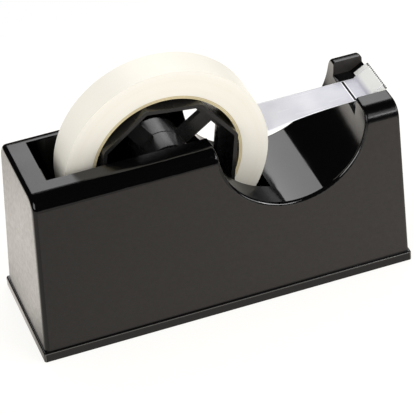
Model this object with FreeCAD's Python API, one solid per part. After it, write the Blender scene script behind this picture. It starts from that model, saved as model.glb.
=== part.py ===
"""Weighted desktop tape dispenser for film tape on a three inch core.

Millimetres. +X runs along the tape's path towards the cutter, +Y across it, +Z up.
The origin is the middle of the underside.
"""
import FreeCAD, Part
import math
import os
from FreeCAD import Vector

# ---- tape ------------------------------------------------------------------
TAPE_WIDTH = 19.0
ROLL_RADIUS = 53.55
CORE_INNER_RADIUS = 38.1
CORE_WALL = 1.55
ROLL_TO_CORE_GAP = 0.05
FILM_THICKNESS = 0.25
PEEL_GAP = 0.35
FILM_SPAN = 26.0
FILM_STEPS = 6
FILM_NEAR_DROP = 4.8
FILM_FAR_DROP = 0.5

# ---- body moulding ---------------------------------------------------------
REAR_LEDGE = 12.0
BAY_REAR_GAP = 10.3
HUB_TO_SCOOP = 59.1
SCOOP_RADIUS = 39.0
SCOOP_DRAFT = 2.6
NOSE_LENGTH = 17.9
BAY_WIDTH = 33.5
BAY_OFFSET = 3.0
TOP_WIDTH = 57.1
BODY_HEIGHT = 95.6
HUB_DROP = 15.25
SCOOP_DROP = 1.5
PLATFORM_DROP = 7.6
PLATFORM_EDGE_RADIUS = 4.3
BAY_FRONT_GAP = 2.9
BAY_FLOOR_GAP = 4.3
REAR_DRAFT = 2.7
FRONT_DRAFT = 1.1
SIDE_DRAFT = 3.1
SHELL_WALL = 2.2
SHOULDER_DROP = 7.6
SHOULDER_WIDTH = 7.3
REAR_EDGE_RADIUS = 2.8
FRONT_EDGE_RADIUS = 1.3
RIM_RADIUS = 1.6
LIP_CHAMFER = 0.5

# ---- cutter ----------------------------------------------------------------
SEAT_START = 7.5
SEAT_ANGLE = 30.5
BLADE_SETBACK = 0.8
BLADE_LENGTH = 9.0
BLADE_WIDTH = 25.4
BLADE_THICKNESS = 0.8
TOOTH_COUNT = 16
TOOTH_DEPTH = 1.3
TANG_DEPTH = 3.0
TANG_WIDTH = 5.0
TANG_SPACING = 14.0
TANG_OFFSET = 3.0
TANG_CLEARANCE = 0.1

# ---- base ------------------------------------------------------------------
FLANGE_OVERHANG = 1.1
BASE_TOP = 5.5
PAD_PROUD = 0.3
PAD_THICKNESS = 2.0
PAD_INSET = 2.0
PAD_CORNER_RADIUS = 4.0
FLANGE_CORNER_RADIUS = 1.2
FLANGE_EDGE_RADIUS = 0.9
SPIGOT_HEIGHT = 3.0
SPIGOT_WALL = 1.6
SPIGOT_CLEARANCE = 0.25

# ---- base screws -----------------------------------------------------------
BOSS_RADIUS = 4.0
BOSS_HEIGHT = 17.0
BOSS_INSET = 20.0
BOSS_BITE = 1.2
BOSS_CLEARANCE = 0.4
SCREW_RADIUS = 1.5
SCREW_REACH = 12.3
SCREW_HEAD_RADIUS = 2.8
SCREW_HEAD_HEIGHT = 1.6
SCREW_CLEARANCE = 0.25
THREAD_CLEARANCE = 0.05
COUNTERBORE_DEPTH = 1.8
COUNTERBORE_CLEARANCE = 0.4
SOCKET_SIDES = 6
SOCKET_RADIUS = 1.2
SOCKET_DEPTH = 0.9

# ---- ballast ---------------------------------------------------------------
WEIGHT_GAP = 0.6
SLAB_WEIGHT_WIDTH = 52.0
SLAB_WEIGHT_REAR_INSET = 26.0
NOSE_WEIGHT_HEIGHT = 56.0
NOSE_WEIGHT_WIDTH = 44.0
NOSE_WEIGHT_FRONT_INSET = 9.0
WEIGHT_EDGE_RADIUS = 1.5
WEIGHT_SCREW_RADIUS = 2.0
WEIGHT_THREAD_SHARE = 0.6
WEIGHT_SCREW_HEAD_RADIUS = 3.6
WEIGHT_SCREW_INSET = 14.0

# ---- hub -------------------------------------------------------------------
HUB_SIDE_GAP = 3.45
HUB_SEAT_GAP = 0.25
HUB_SIDES = 8
HUB_CORNER_RADIUS = 4.0
HUB_WALL = 2.0
HUB_VERTEX_ANGLE = 15.0
WEB_THICKNESS = 3.2
WEB_RING_WIDTH = 4.0
SPOKE_COUNT = 4
SPOKE_WIDTH = 8.6
SPOKE_ANGLE = 34.5
DRUM_RADIUS = 13.3
DRUM_WALL = 2.0
DRUM_RECESS = 0.5
SEAM_CHAMFER = 0.35
BEARING_RADIUS = 6.0
BEARING_CLEARANCE = 0.06
PEG_RADIUS = 1.5
PEG_DEPTH = 1.0
PEG_CLEARANCE = 0.05

# ---- axle and its cradles --------------------------------------------------
AXLE_RADIUS = 3.0
AXLE_END_GAP = 0.4
AXLE_CHAMFER = 0.5
CRADLE_THICKNESS = 2.0
CRADLE_WIDTH = 16.0
CRADLE_RISE = 5.0
CRADLE_CLEARANCE = 0.3
WASHER_RADIUS = 7.5
WASHER_THICKNESS = 0.6
WASHER_GAP = 0.15
CLIP_RADIUS = 5.2
CLIP_THICKNESS = 0.7
CLIP_GAP = 0.05
CLIP_MOUTH = 4.2
GROOVE_RADIUS = 2.4
GROOVE_CLEARANCE = 0.05

# ---- places worked out from the sizes above --------------------------------
REAR_SLOPE = math.tan(math.radians(REAR_DRAFT))
FRONT_SLOPE = math.tan(math.radians(FRONT_DRAFT))
SIDE_SLOPE = math.tan(math.radians(SIDE_DRAFT))
SCOOP_SLOPE = math.tan(math.radians(SCOOP_DRAFT))
MOUTH_RADIUS = SCOOP_RADIUS + SCOOP_SLOPE * (TOP_WIDTH / 2 + BAY_OFFSET - BAY_WIDTH / 2)
TOP_LENGTH = (REAR_LEDGE + BAY_REAR_GAP + ROLL_RADIUS + HUB_TO_SCOOP
              + SCOOP_RADIUS + NOSE_LENGTH)
BODY_RISE = BODY_HEIGHT - BASE_TOP
FOOT_LENGTH = TOP_LENGTH + (REAR_SLOPE + FRONT_SLOPE) * BODY_RISE
FOOT_WIDTH = TOP_WIDTH + 2 * SIDE_SLOPE * BODY_RISE
BAY_REAR_X = -FOOT_LENGTH / 2 + REAR_SLOPE * BODY_RISE + REAR_LEDGE
HUB_X = BAY_REAR_X + BAY_REAR_GAP + ROLL_RADIUS
HUB_Z = BODY_HEIGHT - HUB_DROP
SCOOP_X = HUB_X + HUB_TO_SCOOP
SCOOP_Z = BODY_HEIGHT - SCOOP_DROP
PLATFORM_Z = BODY_HEIGHT - PLATFORM_DROP
BAY_FLOOR_Z = HUB_Z - ROLL_RADIUS - BAY_FLOOR_GAP
CORE_OUTER_RADIUS = CORE_INNER_RADIUS + CORE_WALL
PLATE_BOTTOM = PAD_PROUD
RECESS_TOP = PAD_THICKNESS
SEAT_SLOPE = math.tan(math.radians(SEAT_ANGLE))

# ---- working distances -----------------------------------------------------
OVERCUT = 20.0
TOUCHING = 0.01
ALIGNED_RATIO = 0.9


def rear_end(z):
    """Where the drafted rear end of the body lies at height z."""
    return -FOOT_LENGTH / 2 + REAR_SLOPE * (z - BASE_TOP)


def front_end(z):
    """Where the drafted front end of the body lies at height z."""
    return FOOT_LENGTH / 2 - FRONT_SLOPE * (z - BASE_TOP)


def half_width(z):
    """Half the outer width of the drafted body at height z."""
    return TOP_WIDTH / 2 + SIDE_SLOPE * (BODY_HEIGHT - z)


def lower_circle_crossing(x1, z1, r1, x2, z2, r2):
    """The lower of the two points where two circles in the XZ plane cross."""
    dx, dz = x2 - x1, z2 - z1
    distance = math.hypot(dx, dz)
    along = (distance ** 2 + r1 ** 2 - r2 ** 2) / (2 * distance)
    across = math.sqrt(r1 ** 2 - along ** 2)
    return (x1 + (along * dx + across * dz) / distance,
            z1 + (along * dz - across * dx) / distance)


BAY_FRONT_X = lower_circle_crossing(HUB_X, HUB_Z, ROLL_RADIUS + BAY_FRONT_GAP,
                                    SCOOP_X, SCOOP_Z, SCOOP_RADIUS)[0]
EDGE_X = SCOOP_X + math.sqrt((MOUTH_RADIUS + PLATFORM_EDGE_RADIUS) ** 2
                             - (SCOOP_Z - PLATFORM_Z + PLATFORM_EDGE_RADIUS) ** 2)
SEAT_X = EDGE_X + SEAT_START
BLADE_X = SEAT_X + BLADE_SETBACK
BLADE_Z = PLATFORM_Z + BLADE_SETBACK * SEAT_SLOPE
SLAB_WEIGHT_TOP = BAY_FLOOR_Z - SHELL_WALL - WEIGHT_GAP
WEIGHT_SCREW_TOP = BASE_TOP + WEIGHT_THREAD_SHARE * (SLAB_WEIGHT_TOP - BASE_TOP)
HUB_WIDTH = BAY_WIDTH - 2 * HUB_SIDE_GAP
DRUM_LENGTH = HUB_WIDTH - 2 * DRUM_RECESS
HUB_CORNER_REACH = CORE_INNER_RADIUS - HUB_SEAT_GAP
HUB_HALF_TURN = math.pi / HUB_SIDES
HUB_CIRCUMRADIUS = HUB_CORNER_REACH + HUB_CORNER_RADIUS * (1 / math.cos(HUB_HALF_TURN) - 1)
HUB_APOTHEM = HUB_CIRCUMRADIUS * math.cos(HUB_HALF_TURN)


# ---- plain solids ----------------------------------------------------------
def box(x0, x1, y0, y1, z0, z1):
    return Part.makeBox(x1 - x0, y1 - y0, z1 - z0, Vector(x0, y0, z0))


def rod_y(radius, x, z, y0, y1):
    return Part.makeCylinder(radius, y1 - y0, Vector(x, y0, z), Vector(0, 1, 0))


def rod_z(radius, x, y, z0, z1):
    return Part.makeCylinder(radius, z1 - z0, Vector(x, y, z0), Vector(0, 0, 1))


def tube_y(outer, inner, x, z, y0, y1):
    return rod_y(outer, x, z, y0, y1).cut(rod_y(inner, x, z, y0, y1))


def prism_y(points, y0, y1):
    """A closed outline of (x, z) points, drawn out from y0 to y1."""
    wire = Part.makePolygon([Vector(x, y0, z) for x, z in points + points[:1]])
    return Part.Face(wire).extrude(Vector(0, y1 - y0, 0))


def prism_x(points, x0, x1):
    """A closed outline of (y, z) points, drawn out from x0 to x1."""
    wire = Part.makePolygon([Vector(x0, y, z) for y, z in points + points[:1]])
    return Part.Face(wire).extrude(Vector(x1 - x0, 0, 0))


def rounded_plate(length, width, z0, z1, corner):
    """A flat plate about the origin with rounded upright corners."""
    plate = box(-length / 2, length / 2, -width / 2, width / 2, z0, z1)
    upright = [e for e in plate.Edges if abs(e.tangentAt(e.FirstParameter).z) > ALIGNED_RATIO]
    return plate.makeFillet(corner, upright)


def mirrored(shape):
    """The same piece on the other side of the XZ plane."""
    return shape.mirror(Vector(0, 0, 0), Vector(0, 1, 0))


def both_sides(shape):
    return [shape, mirrored(shape)]


def at_bay(shape):
    """Moves a shape drawn about the XZ plane across to the middle of the bay."""
    return shape.translated(Vector(0, BAY_OFFSET, 0))


def joined(shapes):
    first, rest = shapes[0], shapes[1:]
    return first.fuse(rest).removeSplitter() if rest else first


def group(shapes):
    """Separate solids that share one node."""
    return Part.makeCompound(shapes)


# ---- body ------------------------------------------------------------------
def end_outline(inset, bottom, top, x):
    """The body's outline seen from its end: drafted sides and rounded shoulders."""
    drop, width = SHOULDER_DROP - inset, SHOULDER_WIDTH - inset
    foot = half_width(bottom) - inset
    side = half_width(top - drop) - inset
    corner = half_width(top) - inset

    def at(y, z):
        return Vector(x, y, z)

    def shoulder(first, corner_point, last):
        curve = Part.BezierCurve()
        curve.setPoles([first, corner_point, last])
        curve.setWeight(2, math.cos(math.pi / 4))
        return curve.toShape()

    def line(first, last):
        return Part.LineSegment(first, last).toShape()

    edges = [line(at(foot, bottom), at(side, top - drop)),
             shoulder(at(side, top - drop), at(corner, top), at(corner - width, top)),
             line(at(corner - width, top), at(width - corner, top)),
             shoulder(at(width - corner, top), at(-corner, top), at(-side, top - drop)),
             line(at(-side, top - drop), at(-foot, bottom)),
             line(at(-foot, bottom), at(foot, bottom))]
    return Part.Face(Part.Wire(edges))


def body_block(inset, bottom):
    """The drafted block with its rounded shoulders, shrunk by inset, from bottom up."""
    top = BODY_HEIGHT - inset
    reach = FOOT_LENGTH
    corners = [(rear_end(bottom) + inset, bottom), (front_end(bottom) - inset, bottom),
               (front_end(top) - inset, top), (rear_end(top) + inset, top)]
    side_view = prism_y(corners, -reach, reach)
    end_view = end_outline(inset, bottom, top, -reach).extrude(Vector(2 * reach, 0, 0))
    return side_view.common(end_view)


def round_one_end(block, side, radius):
    """Rounds the upright and upper edges of the end face that looks along side."""
    edges = []
    for face in block.Faces:
        if face.normalAt(0, 0).x * side > ALIGNED_RATIO:
            edges += [e for e in face.Edges if e.CenterOfMass.z > BASE_TOP + LIP_CHAMFER]
    return block.makeFillet(radius, edges)


def round_the_ends(block):
    """The rear end is rounded more softly than the front end."""
    return round_one_end(round_one_end(block, -1, REAR_EDGE_RADIUS), 1, FRONT_EDGE_RADIUS)


def scoop_radius(y):
    """The scoop is drafted across the body, so it widens towards the far side."""
    return SCOOP_RADIUS + SCOOP_SLOPE * (y + TOP_WIDTH / 2)


def scoop(grow):
    """The round hollow that a finger reaches into below the tape, grown by a wall."""
    reach = FOOT_WIDTH
    return Part.makeCone(scoop_radius(-reach) + grow, scoop_radius(reach) + grow, 2 * reach,
                         Vector(SCOOP_X, -reach, SCOOP_Z), Vector(0, 1, 0))


def is_rim(edge):
    """True for the scoop's outer edges, and false for the seams inside its wall."""
    start, end = edge.FirstParameter, edge.LastParameter
    across = (abs(edge.tangentAt(start).y) > ALIGNED_RATIO
              and abs(edge.tangentAt(end).y) > ALIGNED_RATIO)
    return not across or abs(edge.CenterOfMass.z - BODY_HEIGHT) < TOUCHING


def cut_scoop(block):
    """Cuts the scoop and rounds its rim all the way round."""
    block = block.cut(scoop(0.0))
    rim = []
    for face in block.Faces:
        if isinstance(face.Surface, Part.Cone):
            rim += [e for e in face.Edges if is_rim(e)]
    return block.makeFillet(RIM_RADIUS, rim)


def bay(grow):
    """The pocket that the roll turns in, grown by a wall on its sides and floor."""
    half = BAY_WIDTH / 2 + grow
    return box(BAY_REAR_X - grow, BAY_FRONT_X + grow, -half, half,
               BAY_FLOOR_Z - grow, BODY_HEIGHT + OVERCUT)


def bay_lip():
    """The chamfer round the pocket's mouth, as a cutting wedge."""
    half = BAY_WIDTH / 2
    low, high = BODY_HEIGHT - LIP_CHAMFER, BODY_HEIGHT + OVERCUT
    spread = LIP_CHAMFER + OVERCUT
    across = prism_x([(-half, low), (half, low), (half + spread, high), (-half - spread, high)],
                     BAY_REAR_X - spread, SCOOP_X)
    along = prism_y([(BAY_REAR_X, low), (SCOOP_X, low), (SCOOP_X, high),
                     (BAY_REAR_X - spread, high)], -FOOT_WIDTH, FOOT_WIDTH)
    return across.common(along)


def cutter_recess():
    """The gap between the two cheeks: rounded edge, flat platform and sloping blade seat."""
    right = FOOT_LENGTH / 2 + OVERCUT
    high = BODY_HEIGHT + OVERCUT
    share = MOUTH_RADIUS / (MOUTH_RADIUS + PLATFORM_EDGE_RADIUS)
    edge_centre_z = PLATFORM_Z - PLATFORM_EDGE_RADIUS
    touch_x = SCOOP_X + (EDGE_X - SCOOP_X) * share
    touch_z = SCOOP_Z + (edge_centre_z - SCOOP_Z) * share
    half_angle = math.atan2(touch_z - edge_centre_z, touch_x - EDGE_X)
    middle_angle = (half_angle + math.pi / 2) / 2
    middle = Vector(EDGE_X + PLATFORM_EDGE_RADIUS * math.cos(middle_angle), 0,
                    edge_centre_z + PLATFORM_EDGE_RADIUS * math.sin(middle_angle))
    touch = Vector(touch_x, 0, touch_z)
    flat_start = Vector(EDGE_X, 0, PLATFORM_Z)
    corners = [flat_start, Vector(SEAT_X, 0, PLATFORM_Z),
               Vector(right, 0, PLATFORM_Z + (right - SEAT_X) * SEAT_SLOPE),
               Vector(right, 0, high), Vector(SCOOP_X, 0, high),
               Vector(SCOOP_X, 0, touch_z), touch]
    edges = [Part.Arc(touch, middle, flat_start).toShape()]
    edges += [Part.LineSegment(a, b).toShape() for a, b in zip(corners, corners[1:])]
    face = Part.Face(Part.Wire(edges))
    face.translate(Vector(0, -BAY_WIDTH / 2, 0))
    return face.extrude(Vector(0, BAY_WIDTH, 0))


def under_recess():
    """The wall zone round the cutter gap, which the inner hollow leaves solid."""
    half = BAY_WIDTH / 2 + SHELL_WALL
    return box(SCOOP_X, FOOT_LENGTH / 2 + OVERCUT, -half, half,
               PLATFORM_Z - SHELL_WALL, BODY_HEIGHT + OVERCUT)


def hollow():
    """The space inside the shell, open at the bottom."""
    space = body_block(SHELL_WALL, BASE_TOP - SHELL_WALL)
    for solid in (at_bay(bay(SHELL_WALL)), scoop(SHELL_WALL),
                  at_bay(under_recess())):
        space = space.cut(solid)
    return space


def boss_places():
    """Centres of the four posts that the base screws go into."""
    x = FOOT_LENGTH / 2 - BOSS_INSET
    y = half_width(BASE_TOP + BOSS_HEIGHT) - SHELL_WALL - BOSS_RADIUS + BOSS_BITE
    return [(sx * x, sy * y) for sx in (-1, 1) for sy in (-1, 1)]


def cradle():
    """One open-topped rest for an axle end, standing against the bay's wall."""
    half = CRADLE_WIDTH / 2
    slot = AXLE_RADIUS + CRADLE_CLEARANCE
    wall_y = BAY_WIDTH / 2
    rest = box(HUB_X - half, HUB_X + half, wall_y - CRADLE_THICKNESS, wall_y + LIP_CHAMFER,
               BAY_FLOOR_Z - LIP_CHAMFER, HUB_Z + CRADLE_RISE)
    top_edges = [e for e in rest.Edges
                 if abs(e.tangentAt(e.FirstParameter).y) > ALIGNED_RATIO
                 and e.CenterOfMass.z > HUB_Z]
    rest = rest.makeFillet(CRADLE_THICKNESS, top_edges)
    notch = rod_y(slot, HUB_X, HUB_Z, wall_y - CRADLE_THICKNESS, wall_y)
    mouth = box(HUB_X - slot, HUB_X + slot, wall_y - CRADLE_THICKNESS, wall_y,
                HUB_Z, HUB_Z + CRADLE_RISE)
    return rest.cut(notch.fuse(mouth))


def tang_slots():
    """Slots in the blade seat for the blade's two tangs."""
    slots = [tang(y, TANG_CLEARANCE) for y in tang_places()]
    return joined(slots)


def body_shell():
    shell = cut_scoop(round_the_ends(body_block(0.0, BASE_TOP)))
    for tool in (bay(0.0), bay_lip(), cutter_recess()):
        shell = shell.cut(at_bay(tool))
    shell = shell.cut(hollow())
    shell = shell.fuse([at_bay(rest) for rest in both_sides(cradle())])
    posts = [rod_z(BOSS_RADIUS, x, y, BASE_TOP, BASE_TOP + BOSS_HEIGHT)
             for x, y in boss_places()]
    shell = shell.fuse(posts)
    pilot = SCREW_RADIUS + THREAD_CLEARANCE
    reach = BASE_TOP + BOSS_HEIGHT - SHELL_WALL
    for x, y in boss_places():
        shell = shell.cut(rod_z(pilot, x, y, BASE_TOP, reach))
    return shell.cut(at_bay(tang_slots())).removeSplitter()


# ---- base ------------------------------------------------------------------
def screw_hole(x, y, screw_radius, head_radius):
    """A clearance hole with its counterbore, seen from below."""
    bore = rod_z(screw_radius + SCREW_CLEARANCE, x, y, PLATE_BOTTOM, BASE_TOP)
    pocket = rod_z(head_radius + COUNTERBORE_CLEARANCE, x, y, PLATE_BOTTOM,
                   RECESS_TOP + COUNTERBORE_DEPTH)
    return bore.fuse(pocket)


def spigot_bar(inset):
    """A low bar that follows the inside of the shell's foot, shrunk by inset."""
    top = BASE_TOP + SPIGOT_HEIGHT
    half = half_width(top) - inset
    return box(rear_end(top) + inset, front_end(top) - inset, -half, half, BASE_TOP, top)


def base_plate():
    length = FOOT_LENGTH + 2 * FLANGE_OVERHANG
    width = FOOT_WIDTH + 2 * FLANGE_OVERHANG
    plate = rounded_plate(length, width, PLATE_BOTTOM, BASE_TOP, FLANGE_CORNER_RADIUS)
    top_edges = [e for e in plate.Edges if abs(e.CenterOfMass.z - BASE_TOP) < TOUCHING]
    plate = plate.makeFillet(FLANGE_EDGE_RADIUS, top_edges)
    spigot_top = BASE_TOP + SPIGOT_HEIGHT
    inset = SHELL_WALL + SPIGOT_CLEARANCE
    spigot = spigot_bar(inset).cut(spigot_bar(inset + SPIGOT_WALL))
    for x, y in boss_places():
        spigot = spigot.cut(rod_z(BOSS_RADIUS + BOSS_CLEARANCE, x, y, BASE_TOP, spigot_top))
    plate = plate.fuse(spigot).cut(pad_block(PLATE_BOTTOM, RECESS_TOP, 0.0))
    for x, y in boss_places():
        plate = plate.cut(screw_hole(x, y, SCREW_RADIUS, SCREW_HEAD_RADIUS))
    for x, y in weight_screw_places():
        plate = plate.cut(screw_hole(x, y, WEIGHT_SCREW_RADIUS, WEIGHT_SCREW_HEAD_RADIUS))
    return plate.removeSplitter()


def pad_block(z0, z1, gap):
    inset = 2 * (PAD_INSET + gap)
    return rounded_plate(FOOT_LENGTH - inset, FOOT_WIDTH - inset, z0, z1,
                         PAD_CORNER_RADIUS)


def nonskid_pad():
    return pad_block(0.0, PAD_THICKNESS, SPIGOT_CLEARANCE)


def screw(x, y, radius, top, head_radius):
    """A pan head screw that points up to top, with a hexagonal socket in its head."""
    seat = RECESS_TOP + COUNTERBORE_DEPTH
    head = rod_z(head_radius, x, y, seat - SCREW_HEAD_HEIGHT, seat)
    shank = rod_z(radius, x, y, seat, top)
    turns = [2 * math.pi * i / SOCKET_SIDES for i in range(SOCKET_SIDES + 1)]
    corners = [Vector(x + SOCKET_RADIUS * math.cos(turn), y + SOCKET_RADIUS * math.sin(turn),
                      seat - SCREW_HEAD_HEIGHT) for turn in turns]
    socket = Part.Face(Part.makePolygon(corners)).extrude(Vector(0, 0, SOCKET_DEPTH))
    return head.fuse(shank).cut(socket).removeSplitter()


def base_screws():
    return group([screw(x, y, SCREW_RADIUS, BASE_TOP + SCREW_REACH, SCREW_HEAD_RADIUS)
                  for x, y in boss_places()])


# ---- ballast ---------------------------------------------------------------
def slab_weight_box():
    """Corners of the flat weight that lies under the bay's floor."""
    half = SLAB_WEIGHT_WIDTH / 2
    return (-FOOT_LENGTH / 2 + SLAB_WEIGHT_REAR_INSET, BAY_FRONT_X, -half, half,
            BASE_TOP, SLAB_WEIGHT_TOP)


def nose_weight_box():
    half = NOSE_WEIGHT_WIDTH / 2
    return (BAY_FRONT_X + SHELL_WALL + WEIGHT_GAP,
            FOOT_LENGTH / 2 - NOSE_WEIGHT_FRONT_INSET, -half, half,
            BASE_TOP, BASE_TOP + NOSE_WEIGHT_HEIGHT)


def weight_screw_places():
    """One screw near each end of every weight."""
    places = []
    for x0, x1, _y0, _y1, _z0, _z1 in (slab_weight_box(), nose_weight_box()):
        places += [(x0 + WEIGHT_SCREW_INSET, 0.0), (x1 - WEIGHT_SCREW_INSET, 0.0)]
    return places


def tapped(weight):
    for x, y in weight_screw_places():
        weight = weight.cut(rod_z(WEIGHT_SCREW_RADIUS + THREAD_CLEARANCE, x, y,
                                  BASE_TOP, WEIGHT_SCREW_TOP + THREAD_CLEARANCE))
    return weight


def soft_edged(weight):
    """Rounds the cast weight's upright edges."""
    upright = [e for e in weight.Edges if abs(e.tangentAt(e.FirstParameter).z) > ALIGNED_RATIO]
    return weight.makeFillet(WEIGHT_EDGE_RADIUS, upright)


def slab_weight():
    return tapped(soft_edged(box(*slab_weight_box())))


def nose_weight():
    block = soft_edged(box(*nose_weight_box()))
    return tapped(block.cut(scoop(SHELL_WALL + WEIGHT_GAP)))


def weight_screws():
    return group([screw(x, y, WEIGHT_SCREW_RADIUS, WEIGHT_SCREW_TOP,
                        WEIGHT_SCREW_HEAD_RADIUS)
                  for x, y in weight_screw_places()])


# ---- cutter blade ----------------------------------------------------------
def on_seat(shape):
    """Lays a piece drawn flat at the origin on the sloping blade seat."""
    shape.rotate(Vector(0, 0, 0), Vector(0, 1, 0), -SEAT_ANGLE)
    shape.translate(Vector(BLADE_X, 0, BLADE_Z))
    return shape


def tang_places():
    return (-TANG_SPACING / 2, TANG_SPACING / 2)


def tang(y, clearance):
    """One tab bent down from the blade into its slot."""
    half = TANG_WIDTH / 2 + clearance
    return on_seat(box(TANG_OFFSET - clearance, TANG_OFFSET + BLADE_THICKNESS + clearance,
                       y - half, y + half, -TANG_DEPTH - clearance, 0.0))


def cutter_blade():
    pitch = BLADE_WIDTH / TOOTH_COUNT
    root = BLADE_LENGTH - TOOTH_DEPTH
    edge = [Vector(root, -BLADE_WIDTH / 2, 0)]
    for i in range(TOOTH_COUNT):
        left = -BLADE_WIDTH / 2 + i * pitch
        edge += [Vector(BLADE_LENGTH, left + pitch / 2, 0), Vector(root, left + pitch, 0)]
    outline = [Vector(0, -BLADE_WIDTH / 2, 0)] + edge + [Vector(0, BLADE_WIDTH / 2, 0)]
    outline.append(outline[0])
    plate = Part.Face(Part.makePolygon(outline)).extrude(Vector(0, 0, BLADE_THICKNESS))
    return joined([on_seat(plate)] + [tang(y, 0.0) for y in tang_places()])


# ---- tape ------------------------------------------------------------------
def cardboard_core():
    half = TAPE_WIDTH / 2
    return tube_y(CORE_OUTER_RADIUS, CORE_INNER_RADIUS, HUB_X, HUB_Z, -half, half)


def tape_roll():
    half = TAPE_WIDTH / 2
    return tube_y(ROLL_RADIUS, CORE_OUTER_RADIUS + ROLL_TO_CORE_GAP, HUB_X, HUB_Z, -half, half)


def film_section(x, near_z, far_z):
    """One upright cross-section of the film."""
    half = TAPE_WIDTH / 2
    corners = [Vector(x, -half, near_z), Vector(x, half, far_z),
               Vector(x, half, far_z + FILM_THICKNESS), Vector(x, -half, near_z + FILM_THICKNESS)]
    return Part.makePolygon(corners + corners[:1])


def free_film_sections():
    """The film from the roll to the platform: it leaves the roll with a slight twist."""
    start_x = HUB_X + ROLL_RADIUS + PEEL_GAP
    sections = []
    for i in range(FILM_STEPS):
        left = (1.0 - i / FILM_STEPS) ** 2
        sections.append(film_section(start_x + FILM_SPAN * i / FILM_STEPS,
                                     PLATFORM_Z - FILM_NEAR_DROP * left,
                                     PLATFORM_Z - FILM_FAR_DROP * left))
    return sections


def laid_film_sections():
    """The film lying on the platform and climbing the blade to the roots of its teeth."""
    turn = math.radians(SEAT_ANGLE)
    top_x = BLADE_X - BLADE_THICKNESS * math.sin(turn)
    top_z = BLADE_Z + BLADE_THICKNESS * math.cos(turn)
    reach = BLADE_LENGTH - TOOTH_DEPTH
    lift_x = BLADE_X - BLADE_SETBACK - BLADE_THICKNESS
    places = [(HUB_X + ROLL_RADIUS + PEEL_GAP + FILM_SPAN, PLATFORM_Z), (EDGE_X, PLATFORM_Z),
              (lift_x, PLATFORM_Z), (top_x, top_z),
              (top_x + reach * math.cos(turn), top_z + reach * math.sin(turn))]
    return [film_section(x, z, z) for x, z in places]


def tape_strip():
    """The free end of the film, from the roll over the platform to the blade's teeth."""
    return Part.makeLoft(free_film_sections() + laid_film_sections(), True, True)


# ---- hub -------------------------------------------------------------------
def octagon(circumradius, corner, y0, y1):
    """An eight-sided bar about the axle line, with rounded corners."""
    turn = math.radians(HUB_VERTEX_ANGLE)
    points = [(HUB_X + circumradius * math.cos(turn + 2 * HUB_HALF_TURN * i),
               HUB_Z + circumradius * math.sin(turn + 2 * HUB_HALF_TURN * i))
              for i in range(HUB_SIDES)]
    bar = prism_y(points, y0, y1)
    lengthwise = [e for e in bar.Edges if abs(e.tangentAt(e.FirstParameter).y) > ALIGNED_RATIO]
    return bar.makeFillet(corner, lengthwise)


def spoke(angle, half_thickness, inner, outer):
    """One radial arm of the web."""
    arm = box(inner, outer, -half_thickness, 0.0, -SPOKE_WIDTH / 2, SPOKE_WIDTH / 2)
    arm.rotate(Vector(0, 0, 0), Vector(0, 1, 0), -angle)
    arm.translate(Vector(HUB_X, 0, HUB_Z))
    return arm


def spoke_angles():
    return [SPOKE_ANGLE + 360.0 / SPOKE_COUNT * i for i in range(SPOKE_COUNT)]


def peg(angle, radius, y0, y1):
    distance = (DRUM_RADIUS + HUB_APOTHEM) / 2
    turn = math.radians(angle)
    return rod_y(radius, HUB_X + distance * math.cos(turn), HUB_Z + distance * math.sin(turn),
                 y0, y1)


def hub_half():
    """The near half of the hub: outer shell, spoked web, inner drum and bearing."""
    half = HUB_WIDTH / 2
    wall_ratio = 1 / math.cos(HUB_HALF_TURN)
    inner_reach = HUB_CIRCUMRADIUS - HUB_WALL * wall_ratio
    window_reach = inner_reach - WEB_RING_WIDTH * wall_ratio
    half_web = WEB_THICKNESS / 2
    inner_corner = HUB_CORNER_RADIUS - HUB_WALL
    outer = octagon(HUB_CIRCUMRADIUS, HUB_CORNER_RADIUS, -half, 0.0)
    shell = outer.cut(octagon(inner_reach, inner_corner, -half, -half_web))
    shell = shell.cut(octagon(window_reach, inner_corner, -half_web, 0.0))
    arms = [spoke(a, half_web, DRUM_RADIUS - DRUM_WALL / 2, HUB_APOTHEM - HUB_WALL)
            for a in spoke_angles()]
    drum = rod_y(DRUM_RADIUS, HUB_X, HUB_Z, -DRUM_LENGTH / 2, 0.0)
    seam = [e for e in drum.Edges if abs(e.CenterOfMass.y) < TOUCHING]
    drum = drum.makeChamfer(SEAM_CHAMFER, seam)
    drum = drum.cut(tube_y(DRUM_RADIUS - DRUM_WALL, BEARING_RADIUS, HUB_X, HUB_Z,
                           -DRUM_LENGTH / 2, -half_web))
    hub = joined([shell] + arms + [drum])
    return hub.cut(rod_y(AXLE_RADIUS + BEARING_CLEARANCE, HUB_X, HUB_Z, -half, 0.0))


def hub_near():
    hub = hub_half()
    for angle in spoke_angles():
        hub = hub.cut(peg(angle, PEG_RADIUS + PEG_CLEARANCE, -PEG_DEPTH - PEG_CLEARANCE, 0.0))
    return hub.removeSplitter()


def hub_far():
    hub = mirrored(hub_half())
    pegs = [peg(angle, PEG_RADIUS, -PEG_DEPTH, 0.0) for angle in spoke_angles()]
    return joined([hub] + pegs)


# ---- axle ------------------------------------------------------------------
def washer_start():
    return DRUM_LENGTH / 2 + WASHER_GAP


def clip_start():
    return washer_start() + WASHER_THICKNESS + CLIP_GAP


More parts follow.
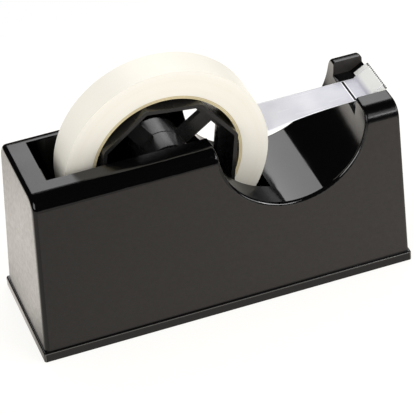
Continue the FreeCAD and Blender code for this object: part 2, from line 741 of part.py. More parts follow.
def hub_axle():
    reach = BAY_WIDTH / 2 - AXLE_END_GAP
    axle = rod_y(AXLE_RADIUS, HUB_X, HUB_Z, -reach, reach)
    ends = [e for e in axle.Edges
            if abs(abs(e.CenterOfMass.y) - reach) < TOUCHING and len(e.Vertexes) == 1]
    axle = axle.makeChamfer(AXLE_CHAMFER, ends)
    start = clip_start() - GROOVE_CLEARANCE
    end = clip_start() + CLIP_THICKNESS + GROOVE_CLEARANCE
    groove = tube_y(AXLE_RADIUS + OVERCUT, GROOVE_RADIUS, HUB_X, HUB_Z, start, end)
    for cut in both_sides(groove):
        axle = axle.cut(cut)
    return axle


def washer():
    start = washer_start()
    return tube_y(WASHER_RADIUS, AXLE_RADIUS + BEARING_CLEARANCE, HUB_X, HUB_Z,
                  start, start + WASHER_THICKNESS)


def retaining_clip():
    """An open ring that snaps into the axle's groove from above."""
    start, end = clip_start(), clip_start() + CLIP_THICKNESS
    ring = tube_y(CLIP_RADIUS, GROOVE_RADIUS + GROOVE_CLEARANCE, HUB_X, HUB_Z, start, end)
    mouth = box(HUB_X - CLIP_MOUTH / 2, HUB_X + CLIP_MOUTH / 2, start, end,
                HUB_Z, HUB_Z + CLIP_RADIUS)
    return ring.cut(mouth)


# ---- output ----------------------------------------------------------------
def pieces():
    """Every node's shape: first the fixed body, then what lies in line with the bay."""
    fixed = {
        "body_shell": body_shell(),
        "base_plate": base_plate(),
        "nonskid_pad": nonskid_pad(),
        "base_screws": base_screws(),
        "ballast_slab": slab_weight(),
        "ballast_nose": nose_weight(),
        "ballast_screws": weight_screws(),
    }
    in_line = {
        "cutter_blade": cutter_blade(),
        "tape_strip": tape_strip(),
        "tape_roll": tape_roll(),
        "cardboard_core": cardboard_core(),
        "hub_near": hub_near(),
        "hub_far": hub_far(),
        "hub_axle": hub_axle(),
        "washer_near": mirrored(washer()),
        "washer_far": washer(),
        "axle_clip_near": mirrored(retaining_clip()),
        "axle_clip_far": retaining_clip(),
    }
    return {**fixed, **{name: at_bay(shape) for name, shape in in_line.items()}}


def main():
    os.makedirs("parts", exist_ok=True)
    for name, shape in pieces().items():
        box_of = shape.BoundBox
        print("%-16s solids %d valid %s volume %.1f x %.1f..%.1f y %.1f..%.1f z %.1f..%.1f" % (
            name, len(shape.Solids), shape.isValid(), shape.Volume, box_of.XMin, box_of.XMax,
            box_of.YMin, box_of.YMax, box_of.ZMin, box_of.ZMax))
        shape.exportStep(os.path.join("parts", name + ".step"))


main()
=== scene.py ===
"""Looks for the weighted desktop tape dispenser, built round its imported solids.

Metres, in the frame of the solids: +X towards the cutter, +Y across the tape, +Z up.
"""

import math

import bmesh
import bpy
from mathutils import Matrix, Vector


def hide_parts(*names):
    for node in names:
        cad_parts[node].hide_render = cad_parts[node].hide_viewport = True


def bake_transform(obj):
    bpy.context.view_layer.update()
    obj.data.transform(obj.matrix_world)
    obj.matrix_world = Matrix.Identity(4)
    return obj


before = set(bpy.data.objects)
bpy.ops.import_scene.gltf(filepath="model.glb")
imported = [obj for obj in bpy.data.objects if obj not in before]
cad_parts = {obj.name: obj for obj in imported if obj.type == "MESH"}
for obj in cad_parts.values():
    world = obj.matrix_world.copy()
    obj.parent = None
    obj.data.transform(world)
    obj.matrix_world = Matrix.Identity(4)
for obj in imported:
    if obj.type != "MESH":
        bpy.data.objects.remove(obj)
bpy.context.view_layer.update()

MM = 0.001


def mm(low, high):
    """A range given in millimetres."""
    return low * MM, high * MM


# ---- camera, fitted to the photograph: radians, sensor and lens in mm ------
CAMERA_PLACE = Vector((-293.276, -956.943, 808.706)) * MM
CAMERA_TURN = -0.29912
CAMERA_ELEVATION = 0.65343
CAMERA_ROLL = -0.08067
SENSOR_WIDTH = 36.0
CAMERA_LENS = 214.464

# ---- stage -----------------------------------------------------------------
FLOOR_X = (-0.45, 0.45)
FLOOR_Y = (-0.60, 0.26)
FLOOR_COLOUR = (0.88, 0.88, 0.87)
FLOOR_WHITENING = 0.72
FLOOR_GLOW = 1.12
# What glossy surfaces see of the floor: the near floor, the floor behind the part, and a
# brighter patch past its rear end. Each range is where one goes over into the next.
FLOOR_MIRRORED = 0.62
FLOOR_MIRRORED_BEHIND = 1.5
FLOOR_MIRRORED_REAR = 2.45
BEHIND_Y = (0.04, 0.09)
REAR_PATCH_X = (-0.115, -0.085)
REAR_PATCH_NEAR_Y = (-0.03, 0.01)
REAR_PATCH_FAR_Y = (0.10, 0.16)
REAR_PATCH_BEYOND = 0.2
GLOW_TINT = (1.0, 0.99, 0.965)
GLOW_TINT_MIRRORED = (1.0, 0.945, 0.87)
WORLD_COLOUR = (1.0, 1.0, 1.0)
WORLD_SEEN = 1.0
WORLD_MIRRORED = 0.02
WORLD_FILL = 0.74
STAGE_MIDDLE = Vector((0.0, 0.0, 0.06))
# name: (direction from the middle, distance, width, height, radiance)
LAMPS = {
    "lamp_behind": ((0.185, 0.78, 0.60), 1.3, 0.90, 0.46, 3.0),
    "lamp_left": ((-0.78, -0.55, 0.42), 1.3, 0.70, 0.80, 2.9),
    "lamp_right": ((0.88, -0.40, 0.40), 1.3, 0.60, 0.80, 1.9),
    "lamp_front": ((0.37, -0.72, 0.60), 0.86, 0.13, 0.32, 1.9),
    "lamp_rim": ((0.62, -0.64, 0.44), 0.85, 0.58, 0.10, 9.5),
    "lamp_side": ((0.66, 0.76, 0.33), 1.3, 0.34, 0.40, 0.7),
}

# ---- places on the part ----------------------------------------------------
HUB_X = -18.816 * MM
HUB_Z = 80.35 * MM
ROLL_RADIUS = 53.55 * MM
BODY_ENDS = mm(-98.9, 98.9)
PLATFORM_Z = 88.0 * MM
PLATFORM_EDGE_X = 83.0 * MM
BLADE_FOOT = Vector((91.309, 0.0, 88.471)) * MM
BLADE_ANGLE = math.radians(30.5)
BLADE_THICKNESS = 0.8 * MM
BLADE_ROOT = 7.7 * MM
TOOTH_PITCH = 25.4 * MM / 16

# ---- film ------------------------------------------------------------------
FILM_THICKNESS = 0.16 * MM
FILM_NEAR_Y = -6.45 * MM
FILM_FAR_Y = 12.45 * MM
FILM_STEPS = 12
FILM_CLEARANCE = 0.12 * MM
FILM_SAG_POWER = 2.2
FILM_TEETH = 0.7 * MM
PEEL_NEAR = math.radians(3.4)
PEEL_FAR = math.radians(8.4)
PEEL_HUG = math.radians(5.0)
PEEL_CURL = 1.2 * MM
PEEL_STEPS = 6

# ---- where the body's finish changes: each mask's empty and full ends ------
FLAT_FACE = (0.975, 0.985)
LEVEL_FACE = (0.97, 0.99)
OUTER_WALL_Y = mm(25, 26)
END_WALL_X = mm(92, 93)
# Painted shade at the seam: below this range the side is left polished black, a dark line
# for the gap between body and base.
SEAM_SHADE_Z = mm(6.4, 6.7)
GLOSS_EDGE_Z = mm(88.2, 89.8)
GLOSS_EDGE_BLUR = mm(-0.1, 0.1)
CHEEK_X = mm(73, 76)
CHEEK_Z = mm(72, 80)
SCOOP_X = mm(4, 8)
TOP_Z = mm(84, 88)
SCUFF_X = mm(26, 34)
SCOOP_WALL_LEAN = (0.15, 0.30)
RIM_LEAN = (0.30, 0.45)


# ---- node graphs -----------------------------------------------------------
NOISE_SPREAD = (0.3, 0.7)


class Graph:
    """Adds nodes to a material's or the world's node tree and links them."""

    def __init__(self, tree):
        self.tree = tree

    def add(self, kind, inputs=None, **settings):
        node = self.tree.nodes.new("ShaderNode" + kind)
        for name, value in settings.items():
            setattr(node, name, value)
        for name, value in (inputs or {}).items():
            self.feed(node.inputs[name], value)
        return node

    def feed(self, socket, value):
        if isinstance(value, bpy.types.NodeSocket):
            self.tree.links.new(value, socket)
        else:
            socket.default_value = value

    def math(self, operation, *values, clamp=False):
        node = self.add("Math", operation=operation, use_clamp=clamp)
        for socket, value in zip(node.inputs, values):
            self.feed(socket, value)
        return node.outputs[0]

    def size(self, value):
        return self.math("ABSOLUTE", value)

    def product(self, first, *others):
        for other in others:
            first = self.math("MULTIPLY", first, other)
        return first

    def between(self, factor, first, second):
        """A number that goes from the first to the second as the factor goes from 0 to 1."""
        return self.math("MULTIPLY_ADD", self.math("SUBTRACT", second, first), factor, first)

    def fit(self, value, low, high, to_low=0.0, to_high=1.0):
        """Maps low..high onto to_low..to_high and clamps."""
        node = self.add("MapRange", {"Value": value, "From Min": low, "From Max": high,
                                     "To Min": to_low, "To Max": to_high})
        return node.outputs[0]

    def fade(self, value, low, high):
        """1 up to low, 0 from high on."""
        return self.fit(value, low, high, 1.0, 0.0)

    def vary(self, noise, to_low=0.0, to_high=1.0):
        """Spreads the usual values of a noise over to_low..to_high."""
        return self.fit(noise, *NOISE_SPREAD, to_low, to_high)

    def mix(self, factor, first, second):
        """A mix of two colours, each a socket or an RGB triple."""
        node = self.add("Mix", data_type="RGBA")
        self.feed(node.inputs[0], factor)
        for socket, value in ((node.inputs[6], first), (node.inputs[7], second)):
            is_socket = isinstance(value, bpy.types.NodeSocket)
            self.feed(socket, value if is_socket else (*value, 1.0))
        return node.outputs[2]

    def noise(self, place, scale, detail=3.0, roughness=0.55):
        node = self.add("TexNoise", {"Vector": place, "Scale": scale, "Detail": detail,
                                     "Roughness": roughness})
        return node.outputs[0]

    def noise_along(self, distance, scale, detail, roughness=0.5):
        """Noise that changes only with one distance."""
        return self.add("TexNoise", {"W": self.math("MULTIPLY", distance, scale),
                                     "Scale": 1.0, "Detail": detail,
                                     "Roughness": roughness},
                        noise_dimensions="1D").outputs[0]

    def place(self):
        return self.add("TexCoord").outputs["Object"]

    def facing(self):
        """The three parts of the surface's normal."""
        return self.split(self.add("TexCoord").outputs["Normal"])

    def scaled(self, place, scale):
        return self.add("Mapping", {"Vector": place, "Scale": scale}).outputs[0]

    def split(self, vector):
        node = self.add("SeparateXYZ", {0: vector})
        return node.outputs[0], node.outputs[1], node.outputs[2]

    def bump(self, height, strength, distance, normal=None):
        inputs = {"Height": height, "Strength": strength, "Distance": distance}
        if normal is not None:
            inputs["Normal"] = normal
        return self.add("Bump", inputs).outputs[0]


def new_material(name, **constants):
    """A material with its Principled shader's constants set: (graph, shader, material)."""
    material = bpy.data.materials.new(name)
    material.use_nodes = True
    tree = material.node_tree
    shader = tree.nodes["Principled BSDF"]
    for socket, value in constants.items():
        shader.inputs[socket.replace("_", " ")].default_value = value
    return Graph(tree), shader, material


def feed_shader(graph, shader, **values):
    for socket, value in values.items():
        graph.feed(shader.inputs[socket.replace("_", " ")], value)


# ---- the body's plastic ----------------------------------------------------
# Pairs of colours or of roughnesses are the two ends that a noise mixes.
BODY_POLISHED = (0.0007, 0.0007, 0.0008), (0.0014, 0.0013, 0.0014)
# Painted light and shade: the grain is darker at the rear end and paler at the cutter end,
# standing in for how light falls along the sides.
BODY_GRAINED_SHADED_REAR = (0.0060, 0.0042, 0.0034), (0.0175, 0.0150, 0.0138)
BODY_GRAINED_PALER_FRONT = (0.0170, 0.0143, 0.0125), (0.0340, 0.0300, 0.0270)
BODY_ROUGHNESS_POLISHED = (0.035, 0.10)
BODY_ROUGHNESS_GRAINED = (0.36, 0.46)
END_WALL_MATTE = 0.8
TOP_EXTRA_ROUGHNESS = 0.16
SCUFF_EXTRA_ROUGHNESS = 0.22
USUAL_MIRROR = 0.5
SCUFF_MIRROR = 0.22
RIM_EXTRA_MIRROR = 0.5


def body_plastic():
    """Black plastic, polished above and moulded with a fine matte grain on the sides, the
    grain with painted shade towards the rear end.
    """
    graph, shader, material = new_material("body_plastic", IOR=1.5)
    place = graph.place()
    x, y, z = graph.split(place)
    nx, ny, nz = graph.facing()
    sideways = graph.size(ny)

    upright = graph.fit(sideways, *FLAT_FACE)
    outside = graph.fit(graph.size(y), *OUTER_WALL_Y)
    gloss_edge = graph.fit(x, *BODY_ENDS, *GLOSS_EDGE_Z)
    below_gloss = graph.fit(graph.math("SUBTRACT", gloss_edge, z), *GLOSS_EDGE_BLUR)
    # Below the seam range the grain stops: painted shade at the seam with the base.
    side_wall = graph.product(below_gloss, graph.fit(z, *SEAM_SHADE_Z), upright, outside)
    cheek = graph.product(graph.fit(x, *CHEEK_X), graph.fit(z, *CHEEK_Z))
    cheek_inside = graph.product(cheek, graph.math("SUBTRACT", upright, outside, clamp=True))
    grained = graph.math("MAXIMUM", side_wall, cheek_inside)
    end_wall = graph.product(graph.fit(graph.size(nx), *FLAT_FACE),
                             graph.fit(graph.size(x), *END_WALL_X))
    matte = graph.math("MAXIMUM", grained, graph.product(end_wall, END_WALL_MATTE))
    scoop = graph.product(graph.fit(x, *SCOOP_X), graph.fade(z, *TOP_Z))
    scuffed = graph.product(scoop, graph.fade(sideways, *SCOOP_WALL_LEAN),
                            graph.fade(x, *SCUFF_X))
    flat_top = graph.product(graph.fit(nz, *LEVEL_FACE), graph.fit(z, *TOP_Z))
    rounded = graph.math("SUBTRACT", graph.fit(sideways, *RIM_LEAN), upright)
    rim = graph.product(scoop, rounded, outside)

    mottle = graph.noise(place, scale=420.0)
    # Painted shade along the length: the grain's colour goes from the darker rear pair to
    # the paler front pair.
    grain_with_painted_shade = graph.mix(graph.fit(x, *BODY_ENDS), graph.mix(mottle, *BODY_GRAINED_SHADED_REAR),
                         graph.mix(mottle, *BODY_GRAINED_PALER_FRONT))
    smear = graph.noise(place, scale=45.0, detail=4.0)
    worn_top = graph.product(graph.math("MAXIMUM", flat_top, cheek), TOP_EXTRA_ROUGHNESS)
    handled = graph.math("MULTIPLY_ADD", scuffed, SCUFF_EXTRA_ROUGHNESS, worn_top)
    rough_polished = graph.math("ADD", handled, graph.vary(smear, *BODY_ROUGHNESS_POLISHED))
    rough_grained = graph.vary(mottle, *BODY_ROUGHNESS_GRAINED)
    mirror = graph.math("MULTIPLY_ADD", rim, RIM_EXTRA_MIRROR,
                        graph.fit(scuffed, 0.0, 1.0, USUAL_MIRROR, SCUFF_MIRROR))
    waves = graph.bump(graph.noise(place, scale=60.0, detail=1.0), strength=0.06,
                       distance=0.4 * MM)
    grain = graph.product(graph.noise(place, scale=2600.0, detail=2.0), grained)
    feed_shader(graph, shader,
                Base_Color=graph.mix(grained, graph.mix(mottle, *BODY_POLISHED), grain_with_painted_shade),
                Roughness=graph.between(matte, rough_polished, rough_grained),
                Specular_IOR_Level=mirror,
                Normal=graph.bump(grain, strength=0.35, distance=0.06 * MM, normal=waves))
    return material


# ---- the base's and the hub's plastic --------------------------------------
BASE_BLACK = (0.002, 0.0018, 0.0016), (0.006, 0.0055, 0.005)
# Painted highlight: a paler grey on the flange's rounded outer edge, where its faces turn
# between level and upright.
BASE_EDGE_HIGHLIGHT = (0.10, 0.096, 0.09)
BASE_ROUGHNESS = (0.12, 0.22)
BASE_EDGE_HIGHLIGHT_FROM = (0.74, 0.84)
BASE_EDGE_HIGHLIGHT_TO = (0.95, 0.985)
BASE_END_FACE = (0.5, 0.9)
BASE_END_MIRROR = 0.12
HUB_BLACK = (0.007, 0.007, 0.007), (0.016, 0.0155, 0.015)
HUB_ROUGHNESS = (0.20, 0.32)
HUB_FLOW = (1.0, 0.2, 1.0)


def base_plastic():
    """Glossy black plastic, with a painted highlight along the flange's rounded outer edge.
    """
    graph, shader, material = new_material("base_plastic", IOR=1.48)
    place = graph.place()
    mottle = graph.noise(place, scale=500.0)
    nx, ny, _nz = graph.facing()
    endways = graph.size(nx)
    outward = graph.math("MAXIMUM", endways, graph.size(ny))
    # Painted highlight on the rounded edge, picked out by how far the normal leans.
    painted_edge_highlight = graph.product(graph.fit(outward, *BASE_EDGE_HIGHLIGHT_FROM),
                           graph.fade(outward, *BASE_EDGE_HIGHLIGHT_TO))
    feed_shader(graph, shader,
                Base_Color=graph.mix(painted_edge_highlight, graph.mix(mottle, *BASE_BLACK), BASE_EDGE_HIGHLIGHT),
                Specular_IOR_Level=graph.fit(endways, *BASE_END_FACE,
                                             USUAL_MIRROR, BASE_END_MIRROR),
                Roughness=graph.vary(mottle, *BASE_ROUGHNESS),
                Normal=graph.bump(graph.noise(place, scale=2200.0), strength=0.15,
                                  distance=0.04 * MM))
    return material


def hub_plastic():
    """Satin black moulded plastic with faint flow marks along the axle."""
    graph, shader, material = new_material("hub_plastic", IOR=1.5)
    place = graph.place()
    flow = graph.noise(graph.scaled(place, HUB_FLOW), scale=160.0)
    feed_shader(graph, shader,
                Base_Color=graph.mix(graph.noise(place, scale=300.0), *HUB_BLACK),
                Roughness=graph.vary(flow, *HUB_ROUGHNESS),
                Normal=graph.bump(graph.noise(place, scale=1400.0), strength=0.18,
                                  distance=0.05 * MM))
    return material


# ---- the roll, its core and the film's free end ----------------------------
WOUND_CREAM = (0.795, 0.748, 0.635), (0.845, 0.806, 0.712)
WOUND_BAND = (0.865, 0.836, 0.760)
WOUND_BAND_RANGE = (0.2, 0.8)
WOUND_BAND_SHARE = 0.5
WOUND_RING = (0.70, 0.64, 0.50)
WOUND_RING_RANGE = (0.35, 0.75)
WOUND_RING_SHARE = 0.07
WOUND_OUTER = (0.875, 0.835, 0.735), (0.915, 0.882, 0.795)
WOUND_FLAT_FACE = (0.7, 0.8)
WOUND_ROUGHNESS_OUTER = 0.42
WOUND_ROUGHNESS_FLAT = 0.48

CORE_TAN = (0.60, 0.50, 0.27), (0.76, 0.67, 0.44)
CORE_GLUE = (0.14, 0.07, 0.03)
CORE_GLUE_WIDTH = 0.35
CORE_GLUE_SHARE = 0.55

# Paler and darker copies of the film's colour: paler by the roll, painted shade towards the
# cutter.
FILM_PALER_BY_ROLL = (0.62, 0.615, 0.655), (0.70, 0.695, 0.72)
FILM_SHADED_BY_CUTTER = (0.46, 0.455, 0.52), (0.54, 0.535, 0.59)
FILM_SHADE_FROM_X = 45 * MM
# Painted highlight: the film is paler where it lies over the bright blade.
FILM_HIGHLIGHT_OVER_BLADE = (0.78, 0.785, 0.755)
FILM_HIGHLIGHT_OVER_BLADE_X = (BLADE_FOOT.x - 1.2 * MM, BLADE_FOOT.x + 1.0 * MM)
# Painted highlight, used for the lines beside the platform's edge and along the film's own
# edges.
FILM_PAINTED_HIGHLIGHT = (0.95, 0.95, 0.97)
# Painted shade: the dark gap at the platform's edge under the film.
FILM_PAINTED_SHADE = (0.010, 0.008, 0.014)
FILM_SHADE_LINE = mm(0.55, 0.70)
FILM_HIGHLIGHT_LINE = mm(0.95, 1.15)
FILM_SHADE_LINE_MIRROR = 0.05
FILM_EDGE_HIGHLIGHT_INSET = mm(0.6, 0.3)
FILM_DRAWN = (0.12, 1.0, 1.0)
FILM_ROUGHNESS = (0.16, 0.30)


def from_axle(graph, place):
    """The distance from the axle's line."""
    x, _y, z = graph.split(place)
    across = graph.math("SUBTRACT", x, HUB_X)
    up = graph.math("SUBTRACT", z, HUB_Z)
    squares = graph.math("ADD", graph.product(across, across), graph.product(up, up))
    return graph.math("SQRT", squares)


def wound_film():
    """Many turns of film: fine rings on the flat faces, smooth film round the outside."""
    graph, shader, material = new_material("wound_film", IOR=1.47)
    place = graph.place()
    radius = from_axle(graph, place)
    _nx, ny, _nz = graph.facing()
    flat = graph.fit(graph.size(ny), *WOUND_FLAT_FACE)
    rings = graph.noise_along(radius, scale=2400.0, detail=4.0, roughness=0.7)
    bands = graph.noise_along(radius, scale=260.0, detail=2.0)
    patch = graph.noise(place, scale=35.0, detail=2.0)
    banded = graph.mix(graph.fit(bands, *WOUND_BAND_RANGE, 0.0, WOUND_BAND_SHARE),
                       graph.mix(patch, *WOUND_CREAM), WOUND_BAND)
    ring_share = graph.product(graph.fit(rings, *WOUND_RING_RANGE), WOUND_RING_SHARE)
    ringed = graph.mix(ring_share, banded, WOUND_RING)
    feed_shader(graph, shader,
                Base_Color=graph.mix(flat, graph.mix(patch, *WOUND_OUTER), ringed),
                Roughness=graph.fit(flat, 0.0, 1.0, WOUND_ROUGHNESS_OUTER,
                                    WOUND_ROUGHNESS_FLAT),
                Normal=graph.bump(graph.product(rings, flat), strength=0.25,
                                  distance=0.08 * MM))
    return material


def paper_core():
    """Wound kraft board: fibres, and the thin lines between its plies on the end faces."""
    graph, shader, material = new_material("paper_core", Roughness=0.85)
    place = graph.place()
    fibres = graph.noise(place, scale=900.0, detail=5.0, roughness=0.7)
    radius = graph.add("CombineXYZ", {0: from_axle(graph, place)}).outputs[0]
    plies = graph.add("TexWave", {"Vector": radius, "Scale": 430.0, "Distortion": 0.6},
                      wave_type="BANDS").outputs[0]
    glue = graph.fit(plies, 0.0, CORE_GLUE_WIDTH, CORE_GLUE_SHARE, 0.0)
    feed_shader(graph, shader,
                Base_Color=graph.mix(glue, graph.mix(fibres, *CORE_TAN), CORE_GLUE),
                Normal=graph.bump(fibres, strength=0.5, distance=0.1 * MM))
    return material


def free_film():
    """The tape's free end: thin, milky and glossy, with light and shade painted into its
    colour.

    It has painted shade towards the cutter, shows the shaded gap at the platform's edge
    under it as a painted dark line between two painted highlight lines, and has painted
    highlights over the blade and along its own two edges.
    """
    graph, shader, material = new_material("free_film", IOR=1.47)
    place = graph.place()
    x, y, _z = graph.split(place)
    streak = graph.noise(graph.scaled(place, FILM_DRAWN), scale=520.0, detail=4.0)
    cloud = graph.vary(graph.noise(place, scale=70.0, detail=2.0))
    # Painted shade: darker towards the cutter.
    milky = graph.mix(graph.fit(x, FILM_SHADE_FROM_X, PLATFORM_EDGE_X),
                      graph.mix(cloud, *FILM_PALER_BY_ROLL), graph.mix(cloud, *FILM_SHADED_BY_CUTTER))
    # Painted highlight over the blade.
    painted_light = graph.mix(graph.fit(x, *FILM_HIGHLIGHT_OVER_BLADE_X), milky, FILM_HIGHLIGHT_OVER_BLADE)
    # A painted dark line for the shaded gap at the platform's edge, between two painted
    # highlight lines.
    from_edge = graph.size(graph.math("SUBTRACT", x, PLATFORM_EDGE_X))
    shade_line = graph.fade(from_edge, *FILM_SHADE_LINE)
    painted_light = graph.mix(graph.fade(from_edge, *FILM_HIGHLIGHT_LINE), painted_light, FILM_PAINTED_HIGHLIGHT)
    painted_light = graph.mix(shade_line, painted_light, FILM_PAINTED_SHADE)
    # Painted highlights along the film's two edges.
    from_middle = graph.size(graph.math("SUBTRACT", y, (FILM_NEAR_Y + FILM_FAR_Y) / 2))
    half = (FILM_FAR_Y - FILM_NEAR_Y) / 2
    edge_highlight = graph.fit(from_middle, *(half - inset for inset in FILM_EDGE_HIGHLIGHT_INSET))
    feed_shader(graph, shader,
                Base_Color=graph.mix(edge_highlight, painted_light, FILM_PAINTED_HIGHLIGHT),
                Specular_IOR_Level=graph.fit(shade_line, 0.0, 1.0, USUAL_MIRROR,
                                             FILM_SHADE_LINE_MIRROR),
                Roughness=graph.vary(streak, *FILM_ROUGHNESS),
                Normal=graph.bump(streak, strength=0.10, distance=0.05 * MM))
    return material


# ---- metals ----------------------------------------------------------------
CUTTER_SATIN = (0.93, 0.93, 0.90), (0.98, 0.98, 0.95)
# Painted shade: a dark band along the teeth for their shadows and gaps.
CUTTER_TEETH_SHADE = (0.16, 0.16, 0.16)
CUTTER_TEETH_SHADE_FROM = (BLADE_ROOT + 0.1 * MM, BLADE_ROOT + 0.4 * MM)
CUTTER_BRUSHED = (1.0, 0.06, 1.0)
CUTTER_ROUGHNESS = (0.42, 0.55)

ZINC = (0.72, 0.72, 0.73)
ZINC_ROUGHNESS = (0.22, 0.38)
AXLE_STEEL = (0.66, 0.66, 0.67)
AXLE_ROUGHNESS = (0.15, 0.3)
UNDRAWN = (1.0, 1.0, 1.0)
DRAWN_ALONG_Y = (1.0, 0.1, 1.0)
STEEL_DARKER = 0.86

IRON_GREY = (0.045, 0.043, 0.042), (0.11, 0.105, 0.10)
IRON_RUST = (0.13, 0.055, 0.025)
IRON_RUST_RANGE = (0.6, 0.75)
IRON_RUST_SHARE = 0.5
IRON_ROUGHNESS = (0.55, 0.8)


def cutter_steel():
    """Satin stainless sheet, brushed across the tape, with painted shade along its teeth."""
    graph, shader, material = new_material("cutter_steel", Metallic=0.3)
    place = graph.place()
    x, _y, z = graph.split(place)
    run = graph.product(graph.math("SUBTRACT", x, BLADE_FOOT.x), math.cos(BLADE_ANGLE))
    rise = graph.product(graph.math("SUBTRACT", z, BLADE_FOOT.z), math.sin(BLADE_ANGLE))
    # Painted shade along the teeth.
    teeth_shade = graph.fit(graph.math("ADD", run, rise), *CUTTER_TEETH_SHADE_FROM)
    marks = graph.noise(graph.scaled(place, CUTTER_BRUSHED), scale=1500.0, detail=4.0)
    feed_shader(graph, shader,
                Base_Color=graph.mix(teeth_shade, graph.mix(marks, *CUTTER_SATIN),
                                     CUTTER_TEETH_SHADE),
                Roughness=graph.vary(marks, *CUTTER_ROUGHNESS),
                Normal=graph.bump(marks, strength=0.12, distance=0.02 * MM))
    return material


def steel(name, colour, roughness, drawn):
    """Bright metal with fine marks, drawn out along the axis whose scale is small."""
    graph, shader, material = new_material(name, Metallic=1.0)
    place = graph.place()
    marks = graph.noise(graph.scaled(place, drawn), scale=1500.0, detail=4.0)
    darker = tuple(channel * STEEL_DARKER for channel in colour)
    feed_shader(graph, shader,
                Base_Color=graph.mix(graph.noise(place, scale=200.0), darker, colour),
                Roughness=graph.vary(marks, *roughness),
                Normal=graph.bump(marks, strength=0.12, distance=0.02 * MM))
    return material


def cast_iron():
    """Sand-cast iron with a rough grey skin and spots of rust."""
    graph, shader, material = new_material("cast_iron", Metallic=0.6)
    place = graph.place()
    sand = graph.noise(place, scale=700.0, detail=6.0, roughness=0.7)
    rust = graph.fit(graph.noise(place, scale=60.0, detail=5.0), *IRON_RUST_RANGE,
                     0.0, IRON_RUST_SHARE)
    feed_shader(graph, shader,
                Base_Color=graph.mix(rust, graph.mix(sand, *IRON_GREY), IRON_RUST),
                Roughness=graph.vary(sand, *IRON_ROUGHNESS),
                Normal=graph.bump(sand, strength=0.8, distance=0.3 * MM))
    return material


# ---- foam ------------------------------------------------------------------
FOAM_BLACK = (0.020, 0.020, 0.021), (0.042, 0.041, 0.041)


def foam():
    """Foam rubber with fine open cells on its skin."""
    graph, shader, material = new_material("foam", Roughness=0.95)
    place = graph.place()
    cells = graph.add("TexVoronoi", {"Vector": place, "Scale": 1500.0}).outputs["Distance"]
    feed_shader(graph, shader,
                Base_Color=graph.mix(graph.noise(place, scale=300.0), *FOAM_BLACK),
                Normal=graph.bump(cells, strength=0.9, distance=0.25 * MM))
    return material


# ---- pieces ----------------------------------------------------------------
def dress(materials):
    """Gives every node that stays on show its material."""
    for name, material in materials.items():
        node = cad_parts[name]
        node.data.materials.clear()
        node.data.materials.append(material)


def show(name, data):
    """Adds an object to the scene."""
    thing = bpy.data.objects.new(name, data)
    bpy.context.scene.collection.objects.link(thing)
    return thing


def peel_points(share):
    """The film's first stretch, from where it still hugs the roll to where it runs level."""
    peel = PEEL_NEAR + (PEEL_FAR - PEEL_NEAR) * share
    reach = ROLL_RADIUS + FILM_CLEARANCE
    points = []
    for step in range(PEEL_STEPS):
        angle = peel + PEEL_HUG * (1 - step / PEEL_STEPS) + PEEL_CURL / reach
        points.append((HUB_X + reach * math.cos(angle), HUB_Z + reach * math.sin(angle)))
    foot_x = HUB_X + reach * math.cos(peel)
    foot_z = HUB_Z + reach * math.sin(peel)
    for step in range(PEEL_STEPS):
        turn = math.pi / 2 * step / (PEEL_STEPS - 1)
        points.append((foot_x + PEEL_CURL * (1 - math.cos(turn)),
                       foot_z + PEEL_CURL * (1 - math.sin(turn))))
    return points


def film_line(share):
    """One lengthwise line of the film, share 0 at its near edge and 1 at its far edge."""
    points = peel_points(share)
    start_x, start_z = points[-1]
    lying_z = PLATFORM_Z + FILM_CLEARANCE
    for step in range(1, FILM_STEPS + 1):
        along = step / FILM_STEPS
        rise = 1 - (1 - along) ** FILM_SAG_POWER
        points.append((start_x + (PLATFORM_EDGE_X - start_x) * along,
                       start_z + (lying_z - start_z) * rise))
    up = Vector((-math.sin(BLADE_ANGLE), 0.0, math.cos(BLADE_ANGLE)))
    ahead = Vector((math.cos(BLADE_ANGLE), 0.0, math.sin(BLADE_ANGLE)))
    foot = BLADE_FOOT + up * (BLADE_THICKNESS + FILM_CLEARANCE)
    # Two points ease the film up from the platform, then it lies on the blade.
    points.append((foot.x - 2 * BLADE_THICKNESS, lying_z))
    points.append((foot.x - BLADE_THICKNESS / 2, foot.z - BLADE_THICKNESS / 3))
    for reach in (BLADE_THICKNESS, BLADE_ROOT / 2, BLADE_ROOT):
        points.append(tuple((foot + ahead * reach).xz))
    return points


def film_sheet():
    """The film's middle surface, with a zigzag end at the blade."""
    width = FILM_FAR_Y - FILM_NEAR_Y
    columns = 2 * round(width / TOOTH_PITCH)
    ahead = Vector((math.cos(BLADE_ANGLE), math.sin(BLADE_ANGLE)))
    sheet = bmesh.new()
    rows = []
    for column in range(columns + 1):
        share = column / columns
        y = FILM_NEAR_Y + width * share
        line = film_line(share)
        tooth = FILM_TEETH if column % 2 else 0.0
        tip = ahead * (FILM_TEETH / 4 + tooth)
        line.append((line[-1][0] + tip.x, line[-1][1] + tip.y))
        rows.append([sheet.verts.new((x, y, z)) for x, z in line])
    for near, far in zip(rows, rows[1:]):
        for i in range(len(near) - 1):
            sheet.faces.new((near[i], near[i + 1], far[i + 1], far[i]))
    mesh = bpy.data.meshes.new("film_strip")
    sheet.to_mesh(mesh)
    sheet.free()
    for polygon in mesh.polygons:
        polygon.use_smooth = True
    return mesh


def film_strip():
    """The free end of the tape, thin and toothed, in place of the solid strip."""
    strip = show("film_strip", film_sheet())
    thicken = strip.modifiers.new("thickness", "SOLIDIFY")
    thicken.thickness = FILM_THICKNESS
    thicken.offset = 1.0
    strip.data.materials.append(free_film())
    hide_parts("tape_strip")
    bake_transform(strip)


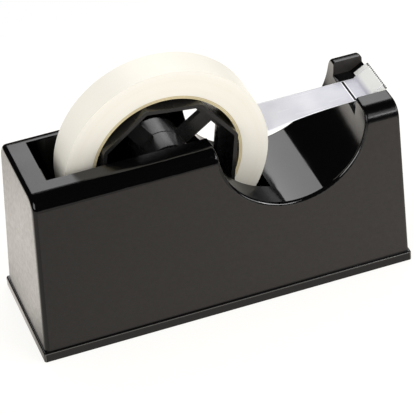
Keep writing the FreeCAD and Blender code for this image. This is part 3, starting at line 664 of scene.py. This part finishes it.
# ---- stage, lamps and camera -----------------------------------------------
def add_world():
    """White to the camera, almost black in reflections, and a soft fill for the rest."""
    world = bpy.data.worlds.new("studio")
    bpy.context.scene.world = world
    world.use_nodes = True
    graph = Graph(world.node_tree)
    background = world.node_tree.nodes["Background"]
    path = graph.add("LightPath").outputs
    unmirrored = graph.between(path["Is Camera Ray"], WORLD_FILL, WORLD_SEEN)
    strength = graph.between(path["Is Glossy Ray"], unmirrored, WORLD_MIRRORED)
    graph.feed(background.inputs["Strength"], strength)
    background.inputs["Color"].default_value = (*WORLD_COLOUR, 1.0)


def mirrored_glow(graph):
    """How bright each place of the floor is in reflections."""
    x, y, _z = graph.split(graph.place())
    beyond = graph.fit(y, *BEHIND_Y, FLOOR_MIRRORED, FLOOR_MIRRORED_BEHIND)
    rear_patch = graph.product(graph.fade(x, *REAR_PATCH_X),
                               graph.fit(y, *REAR_PATCH_NEAR_Y),
                               graph.fit(y, *REAR_PATCH_FAR_Y, 1.0, REAR_PATCH_BEYOND))
    return graph.between(rear_patch, beyond, FLOOR_MIRRORED_REAR)


def floor_material():
    """Matte and pale under the shadows, whitened for the camera and glowing in mirrors."""
    material = bpy.data.materials.new("pale_floor")
    material.use_nodes = True
    tree = material.node_tree
    tree.nodes.remove(tree.nodes["Principled BSDF"])
    graph = Graph(tree)
    matte = graph.add("BsdfDiffuse", {"Color": (*FLOOR_COLOUR, 1.0)}).outputs[0]
    path = graph.add("LightPath").outputs
    is_seen, is_mirrored = path["Is Camera Ray"], path["Is Glossy Ray"]
    glow = graph.add("Emission", {
        "Color": graph.mix(is_mirrored, GLOW_TINT, GLOW_TINT_MIRRORED),
        "Strength": graph.between(is_mirrored, FLOOR_GLOW, mirrored_glow(graph))})
    whitening = graph.math("MAXIMUM", graph.product(is_seen, FLOOR_WHITENING), is_mirrored)
    mixed = graph.add("MixShader", {0: whitening, 1: matte, 2: glow.outputs[0]})
    tree.links.new(mixed.outputs[0], tree.nodes["Material Output"].inputs["Surface"])
    return material


def add_floor():
    (left, right), (front, back) = FLOOR_X, FLOOR_Y
    corners = [(left, front, 0.0), (right, front, 0.0), (right, back, 0.0),
               (left, back, 0.0)]
    mesh = bpy.data.meshes.new("floor")
    mesh.from_pydata(corners, [], [(0, 1, 2, 3)])
    mesh.materials.append(floor_material())
    floor = show("floor", mesh)


def add_lamp(name, direction, distance, width, height, radiance):
    light = bpy.data.lights.new(name, "AREA")
    light.shape = "RECTANGLE"
    light.size, light.size_y = width, height
    light.energy = radiance * math.pi * width * height
    aim = Vector(direction).normalized()
    lamp = show(name, light)
    lamp.location = STAGE_MIDDLE + aim * distance
    lamp.rotation_euler = aim.to_track_quat("Z", "Y").to_euler()


def add_camera():
    data = bpy.data.cameras.new("camera")
    data.sensor_width = SENSOR_WIDTH
    data.lens = CAMERA_LENS
    camera = show("camera", data)
    turn = Matrix.Rotation(CAMERA_TURN, 4, "Z")
    tilt = Matrix.Rotation(math.pi / 2 - CAMERA_ELEVATION, 4, "X")
    roll = Matrix.Rotation(CAMERA_ROLL, 4, "Z")
    camera.matrix_world = Matrix.Translation(CAMERA_PLACE) @ turn @ tilt @ roll
    bpy.context.scene.camera = camera


# ---- the scene -------------------------------------------------------------
zinc = steel("zinc_steel", ZINC, ZINC_ROUGHNESS, UNDRAWN)
hub_black = hub_plastic()
iron = cast_iron()
dress({
    "body_shell": body_plastic(),
    "base_plate": base_plastic(),
    "nonskid_pad": foam(),
    "base_screws": zinc,
    "ballast_slab": iron,
    "ballast_nose": iron,
    "ballast_screws": zinc,
    "cutter_blade": cutter_steel(),
    "tape_roll": wound_film(),
    "cardboard_core": paper_core(),
    "hub_near": hub_black,
    "hub_far": hub_black,
    "hub_axle": steel("axle_steel", AXLE_STEEL, AXLE_ROUGHNESS, DRAWN_ALONG_Y),
    "washer_near": zinc,
    "washer_far": zinc,
    "axle_clip_near": zinc,
    "axle_clip_far": zinc,
})

film_strip()
add_world()
add_floor()
for lamp_name, values in LAMPS.items():
    add_lamp(lamp_name, *values)
add_camera()
bpy.context.scene.view_settings.view_transform = "Standard"
